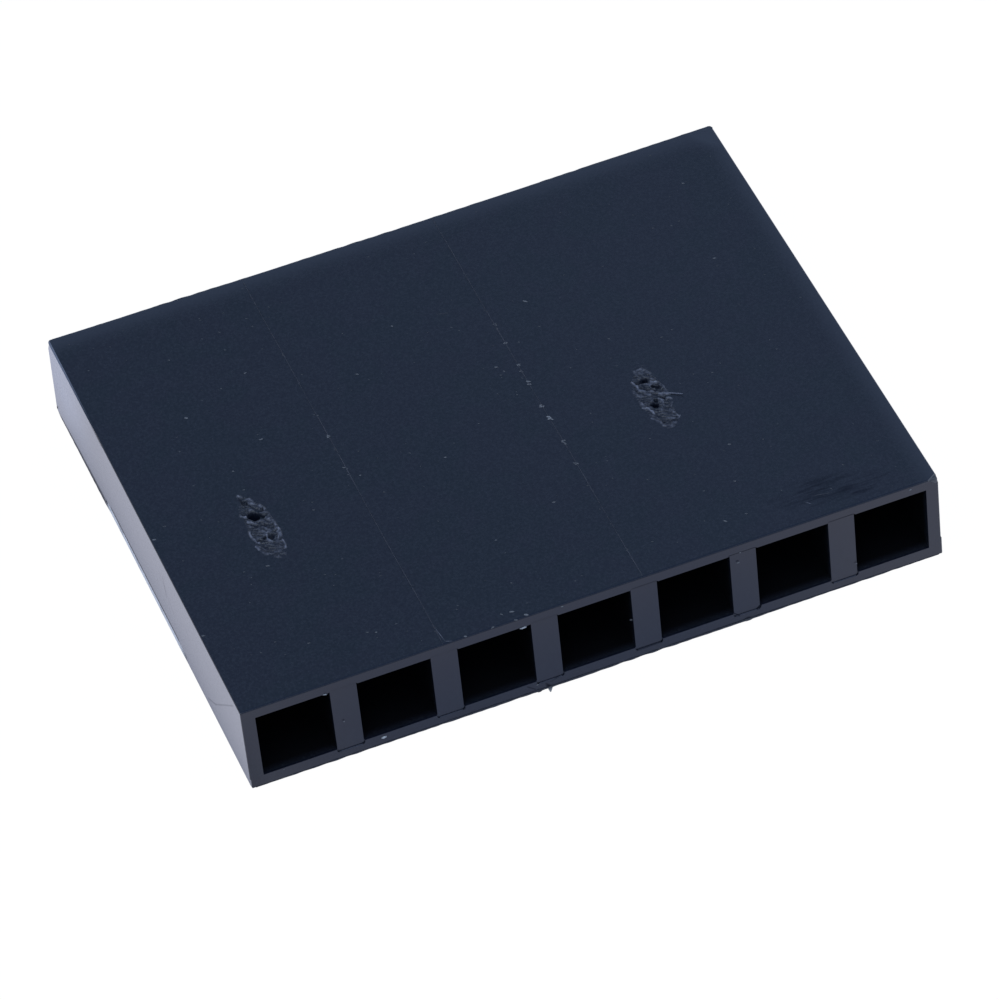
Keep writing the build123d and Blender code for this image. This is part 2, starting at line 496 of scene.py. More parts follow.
MARK_Y = WIRE_FACE_Y + 5.65 * MM
MARK_WIDTH = 1.10
MARK_LENGTH = 2.90
MARK_CELLS_ACROSS = 96
MARK_CELLS_ALONG = 232
MARK_SKIN = 0.20
MARK_LIFT = 0.0015
MARK_PIT = (0.33, 1.15)
MARK_FLOOR = 0.022
MARK_FRAY = 0.030
MARK_DROP = 0.012
THREAD_HEIGHT = 0.020
TORN_RIDGE_HEIGHT = 0.034
TORN_RIDGE_WIDTH = 0.026
# How deep a pit must be for its painted shade to reach full black
BLACK_DEPTH = 0.13

# The threads of the tear lie across the housing and a little askew
STREAK_RUN = Vector((2, -1)).normalized()
STREAK_SIDE = Vector((1, 2)).normalized()

# Each mark in millimetres from its middle. Its outline has how far along, and the left and right
# edge there. Its ridges have a strength, its pits a depth and a radius, and both have a path, across
# and along the housing.
LEFT_MARK = {
    "middle": (-2.5 * PITCH, MARK_Y),
    "paleness": 0.90,
    "outline": [(-1.24, 0.02, 0.24), (-0.9, -0.28, 0.37), (-0.3, -0.33, 0.42), (0.2, -0.27, 0.36),
                (0.5, -0.33, 0.32), (0.85, -0.21, 0.17), (1.20, -0.19, -0.13)],
    "ridges": [
        (0.9, [(-0.14, 1.14), (-0.07, 1.09)]),
        (0.6, [(-0.03, 1.01), (0.05, 0.95), (0.12, 0.85)]),
        (0.7, [(0.05, 0.79), (0.15, 0.73), (0.23, 0.64), (0.30, 0.45)]),
        (0.4, [(-0.12, 0.79), (-0.03, 0.75)]),
        (0.7, [(-0.05, 0.61), (0.03, 0.61)]),
        (1.1, [(-0.30, 0.48), (-0.22, 0.39)]),
        (1.0, [(-0.21, 0.23), (-0.14, 0.17), (-0.07, 0.08)]),
        (0.6, [(-0.04, 0.16), (0.05, 0.16)]),
        (0.8, [(0.17, 0.29), (0.25, 0.16), (0.32, 0.0), (0.36, -0.30), (0.35, -0.56)]),
        (0.9, [(-0.30, -0.10), (-0.31, -0.30), (-0.26, -0.48), (-0.21, -0.57)]),
        (0.7, [(-0.33, -0.63), (-0.29, -0.77)]),
        (0.7, [(0.03, -0.06), (0.11, -0.14), (0.14, -0.29), (0.07, -0.30), (-0.01, -0.18)]),
        (0.8, [(0.05, -0.35), (0.01, -0.49), (0.06, -0.60), (0.11, -0.64)]),
        (0.9, [(0.20, -0.54), (0.25, -0.59), (0.33, -0.49), (0.31, -0.38)]),
        (0.7, [(0.33, -0.71), (0.35, -0.86), (0.32, -0.97), (0.25, -0.97)]),
        (0.4, [(-0.25, -0.91), (-0.18, -1.02)]),
        (0.4, [(0.00, -0.97), (0.09, -1.04)]),
    ],
    "pits": [
        (0.05, 0.05, [(-0.16, 1.02), (-0.07, 0.83)]),
        (0.17, 0.12, [(-0.04, 0.41), (0.02, 0.36)]),
        (0.09, 0.06, [(0.12, 0.33), (0.17, 0.28)]),
        (0.04, 0.05, [(0.23, 0.50)]),
        (0.03, 0.05, [(0.15, -0.03)]),
        (0.07, 0.07, [(0.14, -0.45)]),
        (0.05, 0.05, [(-0.04, -0.43)]),
        (0.05, 0.06, [(-0.17, -0.50)]),
        (0.03, 0.05, [(-0.09, 0.03)]),
    ],
}

RIGHT_MARK = {
    "middle": (1.5 * PITCH, MARK_Y),
    "paleness": 0.86,
    "outline": [(-1.26, -0.10, 0.10), (-1.0, -0.18, 0.33), (-0.6, -0.33, 0.30), (-0.2, -0.40, 0.42),
                (0.2, -0.40, 0.37), (0.6, -0.28, 0.28), (0.80, -0.14, 0.24), (1.0, -0.08, 0.10)],
    "ridges": [
        (0.5, [(-0.09, 0.94), (0.05, 0.95), (0.17, 0.87), (0.24, 0.70)]),
        (0.4, [(-0.10, 0.93), (-0.04, 0.73)]),
        (1.2, [(0.15, 0.47), (0.22, 0.40), (0.27, 0.34)]),
        (0.5, [(-0.03, 0.45), (0.10, 0.36)]),
        (1.3, [(-0.26, 0.58), (-0.23, 0.41), (-0.21, 0.27)]),
        (0.8, [(-0.18, 0.24), (-0.06, 0.16), (0.08, 0.12), (0.17, 0.10)]),
        (0.9, [(-0.12, 0.10), (-0.04, 0.02)]),
        (0.7, [(-0.31, 0.12), (-0.27, 0.04)]),
        (0.9, [(0.20, -0.06), (0.32, -0.14), (0.42, -0.20)]),
        (0.4, [(0.33, -0.09), (0.36, 0.08), (0.40, 0.21)]),
        (1.1, [(0.11, -0.20), (0.18, -0.27), (0.15, -0.38)]),
        (0.5, [(-0.33, -0.15), (-0.29, -0.24)]),
        (1.2, [(-0.36, -0.34), (-0.26, -0.40), (-0.21, -0.52), (-0.19, -0.64)]),
        (0.5, [(-0.32, -0.75), (-0.27, -0.84), (-0.18, -0.98), (-0.14, -1.13), (0.05, -1.24)]),
        (0.6, [(0.05, -0.89), (0.16, -1.00)]),
        (0.6, [(0.23, -0.79), (0.31, -0.93), (0.37, -0.94), (0.30, -1.01), (0.19, -1.09)]),
        (0.4, [(0.05, -1.11), (0.16, -1.15), (0.27, -1.15)]),
        (0.4, [(0.26, -0.22), (0.39, -0.34), (0.37, -0.44), (0.27, -0.57)]),
    ],
    "pits": [
        (0.13, 0.08, [(0.03, 0.56)]),
        (0.06, 0.06, [(-0.06, 0.56), (-0.15, 0.54)]),
        (0.08, 0.035, [(0.14, 0.31), (0.23, 0.21)]),
        (0.04, 0.04, [(0.23, 0.21), (0.29, 0.14)]),
        (0.16, 0.09, [(-0.06, -0.34)]),
        (0.06, 0.05, [(0.02, -0.21)]),
        (0.06, 0.05, [(0.22, -0.21)]),
        (0.05, 0.035, [(0.09, -1.04), (0.22, -1.09)]),
        (0.04, 0.045, [(-0.09, -1.01)]),
        (0.04, 0.04, [(-0.14, 0.32), (0.18, 0.12)]),
    ],
}


def inside_outline(point, outline):
    """How deep a point lies inside the torn patch, negative outside it."""
    ends = min(point.y - outline[0][0], outline[-1][0] - point.y)
    if ends <= 0:
        return ends
    runs = zip(outline, outline[1:])
    (y0, left0, right0), (y1, left1, right1) = next(run for run in runs if point.y <= run[1][0])
    share = (point.y - y0) / (y1 - y0)
    left = left0 + (left1 - left0) * share
    right = right0 + (right1 - right0) * share
    return min(point.x - left, right - point.x, ends)


def torn_surface(point, mark):
    """The torn patch's height, and its tone: 1 on a pale ridge and -1 in a hollow with painted shade."""
    wide = Vector(noise.noise_vector((point.x * 4, point.y * 4, 3.0)).xy)
    fine = Vector(noise.noise_vector((point.x * 17, point.y * 17, 7.0)).xy)
    frayed = point + 0.030 * wide + 0.014 * fine
    share = smooth_step(inside_outline(frayed, mark["outline"]), -0.03, 0.06)
    to_pit_rim = 1 - math.hypot(point.x / MARK_PIT[0], point.y / MARK_PIT[1])
    sunk = smooth_step(to_pit_rim, 0.0, 0.15)
    outside = (1 - share) * (1 - smooth_step(to_pit_rim, -0.20, -0.04))
    along, across = frayed.dot(STREAK_RUN), frayed.dot(STREAK_SIDE)
    fray = noise.fractal((along * 6, across * 15, 1.0), 0.7, 2.0, 4)
    thread = max(1 - 6 * abs(noise.noise((along * 3.5, across * 13, 2.0))), 0.0)
    height = share * (MARK_FRAY * (fray if sunk > 0.5 else abs(fray) * 0.3) - MARK_FLOOR * sunk)
    height += THREAD_HEIGHT * share * thread - MARK_DROP * outside
    tone = share * (0.32 * thread + 0.22 * fray - 0.04)
    broken = 0.70 + 0.9 * noise.noise((point.x * 11, point.y * 11, 4.0))
    for strength, path in mark["ridges"]:
        near = math.exp(-((distance_to_path(frayed, path) / TORN_RIDGE_WIDTH) ** 2)) * broken
        height += TORN_RIDGE_HEIGHT * strength * near
        tone += mark["paleness"] * strength * near
    for depth, radius, path in mark["pits"]:
        near = math.exp(-((distance_to_path(frayed, path) / radius) ** 4))
        height -= depth * near * sunk
        # Painted shade: the deeper the pit, the darker its tone
        tone -= (tone + min(depth / BLACK_DEPTH, 1.0)) * near
    return height, min(max(tone, -1.0), 1.0)


def backed(bm, back_z):
    """Closes a patch that faces +Z: takes its sharp rim back to a flat underside."""
    rim = [edge for edge in bm.edges if edge.is_boundary]
    for edge in rim:
        edge.smooth = False
    skirt = bmesh.ops.extrude_edge_only(bm, edges=rim)["geom"]
    for vertex in (part for part in skirt if isinstance(part, bmesh.types.BMVert)):
        vertex.co.z = back_z
    bmesh.ops.holes_fill(bm, edges=[edge for edge in bm.edges if edge.is_boundary])
    bmesh.ops.recalc_face_normals(bm, faces=bm.faces)


def gate_mark(name, mark, material):
    """A closed patch whose upper side is the torn surface, sunk into the pit of the solid."""
    mark = dict(mark)
    mark["ridges"] = [(size, [Vector(p) for p in path]) for size, path in mark["ridges"]]
    mark["pits"] = [(depth, radius, [Vector(p) for p in path]) for depth, radius, path in mark["pits"]]
    bm, tone = toned_mesh()
    bmesh.ops.create_grid(bm, x_segments=MARK_CELLS_ACROSS, y_segments=MARK_CELLS_ALONG, size=0.5)
    bmesh.ops.scale(bm, vec=(MARK_WIDTH, MARK_LENGTH, 1), verts=bm.verts)
    for vertex in bm.verts:
        height, vertex[tone] = torn_surface(vertex.co.xy, mark)
        vertex.co.z = height + MARK_LIFT
    backed(bm, -MARK_SKIN)
    place = Matrix.Translation((*mark["middle"], TOP_Z)) @ Matrix.Scale(MM, 4)
    bmesh.ops.transform(bm, matrix=place, verts=bm.verts)
    return piece(name, bm, material)


# Thin ridges: witness lines, flash, scuffs and a loose thread, in millimetres

RIDGE_STEP = 0.033
RIDGE_SIDES = 6

WITNESS_RADIUS = 0.018
WITNESS_SETBACK = 0.05
LEFT_LINE_X = -3.797
RIGHT_LINE_X = 1.273

# Flash: its two ends along the row, then the place, radius and noise seed of each thread
FLASH_ENDS_X = (-8.78, 8.80)
MOUTHS_FLASH = {"y": -7.0, "z": 0.020, "radius": 0.030, "seed": 3.0}
MATING_FLASH = {"y": 6.985, "z": 2.560, "radius": 0.020, "seed": 4.0}
MOUTHS_HALF = 8.3

# How far the mating end stands out at both ends of the row, and half the row's length there
MATING_BOW = 0.065
MATING_HALF = 8.90

# Scuffs: the start and end of each in the top, and its strength
SCUFF_RADIUS = 0.013
SCUFF_SUNK = 0.002
SCUFFS = [
    ((5.67, -6.34), (5.84, -6.52), 0.35), ((5.90, -6.24), (6.48, -6.38), 0.07),
    ((0.10, 3.66), (0.42, 3.52), 0.08),
    ((-3.79, -6.30), (-3.71, -6.96), 0.45), ((-3.74, -6.90), (-3.55, -6.97), 0.45),
]

# The loose thread's two ends, from the middle of the right gate mark and up from the top
THREAD_ENDS = [(0.16, -0.04, 0.010), (0.68, -0.33, 0.040)]
THREAD_RADIUS = 0.013
THREAD_WANDER = 0.02


def thin_ridge(name, start, end, radius, profile, material):
    """A thin tube from start to end. Profile gives its swell, shift and tone at each millimetre."""
    run = (end - start) * MM
    turn = Matrix.Translation((start + end) / 2 * MM) @ run.to_track_quat("Z", "Y").to_matrix().to_4x4()
    bm, tone = toned_mesh()
    bmesh.ops.create_cone(bm, cap_ends=True, segments=RIDGE_SIDES, radius1=radius * MM,
                          radius2=radius * MM, depth=run.length, matrix=turn)
    long_edges = [edge for edge in bm.edges if edge.calc_length() > run.length / 2]
    cuts = max(round(run.length / (RIDGE_STEP * MM)) - 1, 3)
    bmesh.ops.subdivide_edges(bm, edges=long_edges, cuts=cuts)
    for vertex in bm.verts:
        along = (vertex.co / MM - start).dot(end - start) / (end - start).length
        middle = start + (end - start).normalized() * along
        swell, shift, vertex[tone] = profile(along)
        vertex.co = (middle + (vertex.co / MM - middle) * swell + Vector(shift)) * MM
        vertex.co.z = max(vertex.co.z, 0.0)
    return piece(name, bm, material)


def witness_line(name, x, seed, material):
    """Where two inserts of the mould meet, a thin broken ridge crosses the whole top, with a painted
    highlight along it.
    """
    def profile(along):
        faint = 0.60 + 0.7 * noise.noise((along * 0.7, seed, 3.0))
        grain = noise.noise((along * 9.0, seed, 9.0))
        wander = 0.020 * noise.noise((along * 0.35, seed, 0.0))
        # The tone is a painted highlight along the ridge
        return max(0.15 + 0.75 * faint + 0.8 * grain, 0.10), (wander, 0, 0), 0.17 * max(faint, 0.35)
    start = Vector((x, WIRE_FACE_Y / MM + WITNESS_SETBACK, TOP_Z / MM))
    end = Vector((x, high.y / MM - WITNESS_SETBACK, TOP_Z / MM))
    return thin_ridge(name, start, end, WITNESS_RADIUS, profile, material)


def edge_flash(name, y, z, radius, seed, bow, material):
    """A ragged thread of plastic along an edge of the row. Bow gives its swell and shift."""
    start, end = [Vector((x, y, z)) for x in FLASH_ENDS_X]

    def profile(along):
        swell, out = bow(start.x + along)
        coarse = noise.noise((along * 0.45, seed, 1.0))
        fine = noise.noise((along * 3.7, seed, 2.0))
        ragged = max(0.75 + 0.5 * coarse + 0.5 * fine, 0.15)
        return ragged * swell, (0, out, 0), 0.04 + 0.10 * max(fine, 0.0)
    return thin_ridge(name, start, end, radius, profile, material)


def mouths_bow(x):
    """The flash below the mouths is widest in the middle of the row, and straight."""
    return 0.55 + 0.60 * max(1 - (x / MOUTHS_HALF) ** 2, 0.0), 0.0


def mating_bow(x):
    """The mating end stands out at both ends of the row, because its middle sank in."""
    return 1.0, MATING_BOW * (abs(x) / MATING_HALF) ** 1.5


def scuff(name, start, end, strength, material):
    """A short stroke in the top, faint at both ends."""
    start, end = Vector((*start, TOP_Z / MM)), Vector((*end, TOP_Z / MM))
    length = (end - start).length

    def profile(along):
        swell = max(math.sin(math.pi * along / length), 0.1)
        return swell, (0, 0, -SCUFF_SUNK), strength * swell
    return thin_ridge(name, start, end, SCUFF_RADIUS, profile, material)


def loose_thread(material):
    """A thread of the right gate mark that was drawn out and stands free of the top."""
    x, y = RIGHT_MARK["middle"]
    start, end = [Vector((x / MM + across, y / MM + along, TOP_Z / MM + up))
                  for across, along, up in THREAD_ENDS]

    def profile(along):
        return 1.25 - 1.1 * along, (0, THREAD_WANDER * math.sin(6 * along), 0), 0.95
    return thin_ridge("loose_thread", start, end, THREAD_RADIUS, profile, material)


# Where the moulding warped, in millimetres. The left end wall leans out towards the mating end.
# The strip below its parting line is drafted in the middle, and flush with the wall from
# FLUSH_START on.

WALL_BACK_Z = -0.18
PARTING_Z = 0.31
LOWER_WALL_X = LEFT_X / MM + 0.02

STRIP_CELLS = (420, 12)
STRIP_Y = (-6.90, 7.004)
STRIP_Z = (0.0, PARTING_Z)
STEP_OUT = 0.022
DRAFT_START = -2.2
DRAFT_RUN_IN = 0.3
FLUSH_OUT = 0.0205
FLUSH_START = 3.15
FLUSH_RUN_IN = 0.50
STRIP_RAGGED = 0.004
STRIP_SKIN = 0.001
CHIP_SKIN = 0.002
# Heights over which the painted reflection on the drafted strip and the painted shade on the flush strip
# fade out
STRIP_REFLECTION_Z = (0.26, 0.31)
LOW_SHADE_Z = (0.08, 0.30)

LEAN_CELLS = (110, 50)
LEAN_START = 2.60
LEAN_Y = (LEAN_START, 7.004)
LEAN_Z = (PARTING_Z, 2.579)
LEAN_AT_TOP = 0.014
LEAN_MORE_BELOW = 0.048
LEAN_LIFT = 0.0015
LEAN_SUNK = 0.004
LEAN_RUN_IN = 0.6
CURL_END_Y = 4.2
CORNER_START_Z = 2.38

# The rounding of the mating end's corner and of its upper edge
RIM_CORNER = 0.14
RIM_EDGE = 0.040

# The rim of the top: how far it reaches along the housing and to both sides, how it widens where
# it rises, and how it lies on the solid's top
RIM_CELLS = (240, 36)
RIM_START_Y = 6.60
RIM_DEPTH = 0.40
RIM_OUT = 0.002
RIM_RISE_Y = (6.84, 6.95)
RIM_HALF = 8.85
RIM_WIDER = 0.04
RIM_WIDER_LEFT = 0.012
RIM_MIDDLE_X = -0.01
RIM_LIFT = 0.0012
RIM_SUNK = 0.004
RIM_BACK_Z = -0.35

# Chips in the strip's edge: along the wall, up it, length, height
WALL_CHIPS = [(3.42, 0.19, 0.07, 0.05), (3.08, 0.27, 0.16, 0.035), (2.20, 0.24, 0.05, 0.03),
              (1.15, 0.27, 0.05, 0.02), (0.35, 0.27, 0.10, 0.015),
              (-0.60, 0.27, 0.06, 0.02), (-2.35, 0.25, 0.05, 0.02), (4.40, 0.05, 0.06, 0.03)]


def lean(y, z):
    """How far the wall leans out, most at the parting line and the mating end."""
    back = max((y - LEAN_START) / (high.y / MM - LEAN_START), 0.0) ** 2
    down = 1 - max(z - PARTING_Z, 0.0) / (TOP_Z / MM - PARTING_Z)
    return back * (LEAN_AT_TOP + LEAN_MORE_BELOW * down)


def leaning_point(y, z):
    """How far the leaning wall stands out. It starts just below the solid's, and has no tone."""
    sunk = LEAN_SUNK * (1 - smooth_step(y, LEAN_START, LEAN_START + LEAN_RUN_IN))
    above = max(z - TOP_Z / MM + RIM_EDGE, 0.0)
    curl = round_drop(RIM_EDGE, above) * (1 - smooth_step(y, LEAN_START, CURL_END_Y))
    corner = RIM_CORNER * smooth_step(z, CORNER_START_Z, TOP_Z / MM)
    behind = max(y - LEAN_Y[1] + corner, 0.0)
    rounded = corner - math.sqrt(max(corner ** 2 - behind ** 2, 0.0))
    return lean(y, z) + LEAN_LIFT - sunk - curl - rounded, 0.0


def chipped(y, z):
    """1 in the middle of a chip in the strip's edge, 0 where the edge is whole."""
    chip = 0.0
    for chip_y, chip_z, length, height in WALL_CHIPS:
        away = math.hypot((y - chip_y) / length, (z - chip_z) / height)
        chip = max(chip, 1 - smooth_step(away, 0.6, 1.2))
    return chip


def strip_point(y, z):
    """How far the wall below the parting line stands out of the solid's, and its tone, which paints light
    and shade.
    """
    drop = max(1 - z / PARTING_Z, 0.0)
    flush = smooth_step(y, FLUSH_START, FLUSH_START + FLUSH_RUN_IN)
    ragged = STRIP_RAGGED * noise.noise((y * 5, z * 8, 1.0)) * drop
    drafting = smooth_step(y, DRAFT_START - DRAFT_RUN_IN, DRAFT_START + DRAFT_RUN_IN)
    drafted = max(STEP_OUT * drafting * (1 - 0.7 * drop), STRIP_SKIN)
    full = FLUSH_OUT + lean(y, z) * (1 - 0.8 * drop) + ragged
    chip = chipped(y, z)
    out = (drafted + (full - drafted) * flush) * (1 - chip) + CHIP_SKIN * chip
    patchy = 0.8 + 0.4 * noise.noise((y * 2.3, 5.0, 1.0))
    # Painted reflection along the drafted strip, and painted shade towards the floor on the flush strip
    # and in the chips
    painted_reflection = 1.20 * patchy * (1 - smooth_step(z, *STRIP_REFLECTION_Z))
    painted_low_shade = 0.42 * patchy * (1 - smooth_step(z, *LOW_SHADE_Z))
    return out, drafting * (1 - flush) * painted_reflection - flush * painted_low_shade - chip


def wall_skin(name, cells, along, up, wall_x, point, material):
    """A closed skin on the left end wall. Point gives how far it stands out, and its tone."""
    (low_y, high_y), (low_z, high_z) = along, up
    bm, tone = toned_mesh()
    bmesh.ops.create_grid(bm, x_segments=cells[0], y_segments=cells[1], size=0.5)
    bmesh.ops.scale(bm, vec=(high_y - low_y, high_z - low_z, 1), verts=bm.verts)
    for vertex in bm.verts:
        y, z = (low_y + high_y) / 2 - vertex.co.x, (low_z + high_z) / 2 + vertex.co.y
        vertex.co.z, vertex[tone] = point(y, z)
    backed(bm, WALL_BACK_Z)
    out_of_wall = Matrix(((0, 0, -1, 0), (-1, 0, 0, 0), (0, 1, 0, 0), (0, 0, 0, 1)))
    middle = Matrix.Translation((wall_x, (low_y + high_y) / 2, (low_z + high_z) / 2))
    bmesh.ops.transform(bm, matrix=Matrix.Scale(MM, 4) @ middle @ out_of_wall, verts=bm.verts)
    return piece(name, bm, material)


def mating_rim(material):
    """The rim of the top at the mating end, bowed, with its edge and corners rounded."""
    bm = bmesh.new()
    bmesh.ops.create_grid(bm, x_segments=RIM_CELLS[0], y_segments=RIM_CELLS[1], size=0.5)
    for vertex in bm.verts:
        share = vertex.co.y + 0.5
        side = vertex.co.x * 2
        out = mating_bow(side * MATING_HALF)[1] + RIM_OUT
        y = RIM_START_Y + share * (RIM_DEPTH + out)
        to_edge = RIM_START_Y + RIM_DEPTH + out - y
        inset = round_drop(RIM_CORNER, max(RIM_CORNER - to_edge, 0.0))
        inward = round_drop(RIM_EDGE, max(RIM_EDGE - to_edge, 0.0))
        rise = smooth_step(y, *RIM_RISE_Y)
        half = RIM_HALF + RIM_WIDER * rise + RIM_WIDER_LEFT * share * (side < 0) - inset
        vertex.co = (side * half + RIM_MIDDLE_X, y, RIM_LIFT - RIM_SUNK * (1 - rise) - inward)
    backed(bm, RIM_BACK_Z)
    bmesh.ops.transform(bm, matrix=Matrix.Scale(MM, 4) @ Matrix.Translation((0, 0, TOP_Z / MM)),
                        verts=bm.verts)
    return piece("mating_rim", bm, material)


# Burrs, most of them on the lower edge of the wire-entry end, and the corner that wore away, with a
# painted highlight on its rim, in millimetres

WIRE_EDGE_Y = WIRE_FACE_Y / MM
SPIKE_PLACE = (-1.335, WIRE_EDGE_Y - 0.075, 0.012)
SPIKE_FLATNESS = 0.3
SPIKE_TURN = -18
SPIKE_LENGTH = 0.16
SPIKE_FOOT = 0.070
SPIKE_TIP = 0.014
SPIKE_TONE = 0.30

# A dark lump beside the spike, a blunt bump and a dark lump on the left end wall: the place,
# stretch, radius and tone of each
LUMPS = [
    ((-1.58, WIRE_EDGE_Y - 0.010, 0.012), (2.0, 1, 0.4), 0.035, -0.35),
    ((3.80, WIRE_EDGE_Y, 0.020), (2.2, 0.9, 0.35), 0.062, 0.06),
    ((-8.957, 6.95, 0.385), (0.4, 1, 1.2), 0.035, -0.80),
]
BURR_ROUGHNESS = 0.008

# The block that fills the corner that wore away, how far its corner lies inside the solid's box,
# and the two ends of the painted highlight on its rim, with how far they lie below the top
CORNER_SIZE = (0.32, 0.24, 0.28)
CORNER_INSET = (0.021, 0.002, 0.002)
CORNER_WEAR = 0.075
CORNER_ROUGHNESS = 0.002
CORNER_TONE = 0.05
CORNER_HIGHLIGHT_ENDS = [(8.62, WIRE_EDGE_Y, 0.006), (8.86, -6.84, 0.008)]
CORNER_HIGHLIGHT_RADIUS = 0.018
CORNER_HIGHLIGHT_TONE = 0.13


def roughened(made, tone, shade):
    """Gives the vertices just made an uneven surface and a tone, and keeps them above the floor."""
    for vertex in made["verts"]:
        vertex.co += Vector(noise.noise_vector(vertex.co * 9)) * BURR_ROUGHNESS
        vertex.co.z = max(vertex.co.z, 0.0)
        vertex[tone] = shade


def burrs(material):
    """A pale spike that points out of the wire-entry end, and the three lumps."""
    bm, tone = toned_mesh()
    place = Matrix.Translation(SPIKE_PLACE) @ Matrix.Diagonal((1, 1, SPIKE_FLATNESS, 1))
    point_out = (Matrix.Rotation(math.radians(SPIKE_TURN), 4, "Z")
                 @ Matrix.Rotation(math.radians(90), 4, "X"))
    spike = bmesh.ops.create_cone(bm, cap_ends=True, segments=14, radius1=SPIKE_FOOT,
                                  radius2=SPIKE_TIP, depth=SPIKE_LENGTH, matrix=place @ point_out)
    roughened(spike, tone, SPIKE_TONE)
    for middle, stretch, radius, shade in LUMPS:
        place = Matrix.Translation(middle) @ Matrix.Diagonal((*stretch, 1))
        lump = bmesh.ops.create_icosphere(bm, subdivisions=3, radius=radius, matrix=place)
        roughened(lump, tone, shade)
    bmesh.ops.scale(bm, vec=(MM, MM, MM), verts=bm.verts)
    return piece("burrs", bm, material)


def worn_corner(material):
    """What is left of the top's corner that wore away: a rounded block with a painted highlight on its
    rim.
    """
    bm, tone = toned_mesh()
    size = Vector(CORNER_SIZE)
    corner = Vector((RIGHT_X / MM - CORNER_INSET[0], WIRE_EDGE_Y + CORNER_INSET[1],
                     TOP_Z / MM - CORNER_INSET[2]))
    place = Matrix.Translation(corner - Vector((size.x, -size.y, size.z)) / 2)
    bmesh.ops.create_cube(bm, size=1.0, matrix=place @ Matrix.Diagonal((*size, 1)))
    bmesh.ops.bevel(bm, geom=bm.edges[:], offset=CORNER_WEAR, segments=5, profile=0.5,
                    affect="EDGES", material=-1)
    for vertex in bm.verts:
        vertex.co += Vector(noise.noise_vector(vertex.co * 14)) * CORNER_ROUGHNESS
        vertex[tone] = CORNER_TONE
    bmesh.ops.scale(bm, vec=(MM, MM, MM), verts=bm.verts)
    piece("worn_corner", bm, material)

    # A painted highlight along the rim of the corner
    def profile(along):
        return 0.8 + 0.8 * abs(noise.noise((along * 11, 3.0, 1.0))), (0, 0, 0), CORNER_HIGHLIGHT_TONE
    start, end = [Vector((x, y, TOP_Z / MM - below)) for x, y, below in CORNER_HIGHLIGHT_ENDS]
    thin_ridge("worn_corner_highlight", start, end, CORNER_HIGHLIGHT_RADIUS, profile, material)


# Dust and crumbs, with their places in millimetres

DUST_RADIUS = 0.015 * MM
SPECK_TURN = 0.25
SPECK_STRETCH = (1.6, 3.2)
SPECK_FLATNESS = 0.55
SPOT_SIZE = 1.15
SPOT_TONE = 0.16
STRAY_DUST = 230
STRAY_REACH = 0.97
STRAY_SIZES = (0.5, 1.0)
STRAY_TONE = 0.14
FACE_TONE = 0.28
CRUMBS_TO_SIZE = 2.5
CRUMB_SIZES = (0.7, 1.3)
CRUMB_TONE = 0.14
CRUMB_SPREAD_X = 0.018
CRUMB_SPREAD_Y = 0.040

# Clusters of crumbs on the two witness lines: how far along the housing, and how big
LEFT_CRUMBS = [(3.93, 0.8), (2.83, 0.8), (1.65, 0.9), (0.77, 1.6), (0.29, 0.9), (-0.44, 1.2), (-0.63, 1.0),
               (-6.45, 0.8)]
RIGHT_CRUMBS = [(4.70, 1.0), (3.19, 0.9), (2.65, 1.1), (2.45, 0.9), (1.95, 1.6), (1.06, 1.6), (0.84, 1.2),
                (0.39, 1.8), (-0.57, 2.1), (-0.99, 2.5), (-1.95, 1.6), (-2.73, 1.4), (-3.60, 0.8),
                (-5.99, 0.8), (-6.84, 1.0)]

# Specks on the top: across and along the housing, and how big
DUST_SPOTS = [
    (2.26, 3.10, 1.5), (7.05, 2.46, 1.3), (-1.02, 3.73, 1.3), (0.76, 1.23, 1.4), (0.88, 1.01, 1.1),
    (-6.71, 2.92, 1.6), (-5.31, 1.41, 1.4), (-6.41, 5.04, 1.1), (-4.87, 3.77, 1.1), (-2.40, 2.51, 1.2),
    (4.84, -3.76, 1.3), (-1.50, -1.15, 1.4), (-3.57, -0.82, 1.2), (0.30, -3.73, 1.3), (3.74, -6.12, 1.4),
    (-1.95, -6.69, 1.6), (-2.20, -6.66, 1.2), (-3.23, -6.96, 1.4), (-2.54, -6.97, 1.2),
    (-1.96, -6.98, 1.2), (-1.68, -6.93, 1.9), (-5.08, -5.91, 1.3), (-5.27, -5.82, 1.0), (7.41, 5.35, 1.3),
    (-1.42, -4.31, 1.2), (-6.30, 0.67, 1.2), (-6.64, -2.72, 1.2), (4.47, -4.98, 1.1), (-6.64, -5.55, 1.0),
    (-8.81, -0.69, 1.6), (-8.43, -0.37, 0.9), (-8.82, -4.23, 1.2),
]

# Specks on the wire-entry end: across and up, and how big
FACE_SPOTS = [
    (-6.82, 2.29, 1.8), (-5.53, 0.23, 3.0), (-6.44, 1.19, 1.0), (-1.81, 2.27, 2.4), (-0.80, 2.53, 1.1),
    (0.87, 1.32, 1.0), (8.15, 2.49, 1.4), (-1.61, 0.23, 1.0), (3.74, 2.32, 1.1), (3.67, 2.01, 1.1),
    (6.66, 0.64, 0.8), (-8.05, 0.30, 1.0),
]


def speck(bm, tone, place, size, shade, chance, run=STREAK_RUN):
    """One crumb, drawn out along run or nearly so."""
    turn = math.atan2(run.y, run.x) + chance.gauss(0, SPECK_TURN)
    stretch = Matrix.Diagonal((chance.uniform(*SPECK_STRETCH), 1.0, SPECK_FLATNESS, 1))
    place = Matrix.Translation(place) @ Matrix.Rotation(turn, 4, "Z") @ stretch
    made = bmesh.ops.create_icosphere(bm, subdivisions=1, radius=DUST_RADIUS * size, matrix=place)
    for vertex in made["verts"]:
        vertex[tone] = shade


